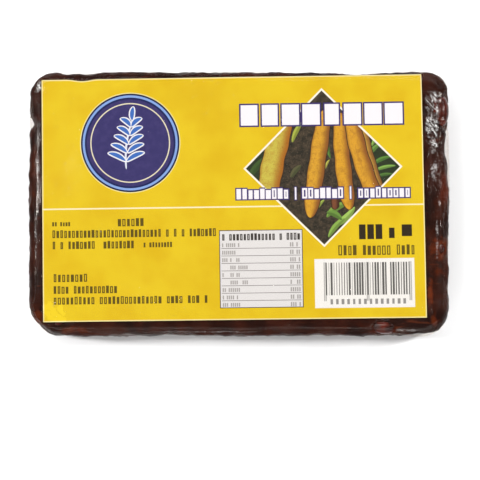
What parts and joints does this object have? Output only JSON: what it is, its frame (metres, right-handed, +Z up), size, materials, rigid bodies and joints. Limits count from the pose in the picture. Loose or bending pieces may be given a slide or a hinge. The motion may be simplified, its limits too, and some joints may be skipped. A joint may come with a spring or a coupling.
{
  "type": "wrapped tamarind block",
  "caption": "Flat pressed block of tamarind pulp with seeds showing at its edge, under a yellow printed label and tight clear film.",
  "frame": {"origin": "middle of the underside, on the surface that the block lies on", "axes": "+Z up, out of the label; +X along the block's long side, to the right of the label as it is seen upright"},
  "size_m": [0.122, 0.077, 0.018],
  "materials": {
    "pulp": "sticky, fibrous dark brown fruit pulp, semi-gloss",
    "seed": "smooth, glossy red-brown seed coat",
    "label": "printed coated paper, satin",
    "film": "clear, glossy, finely creased wrapping film"
  },
  "bodies": {
    "root": {"pulp_slab": "pulp", "seed_upper_right": "seed", "seed_lower_right": "seed", "seed_front_left": "seed", "seed_front_right": "seed", "printed_label": "label", "film_wrap": "film"}
  },
  "joints": []
}
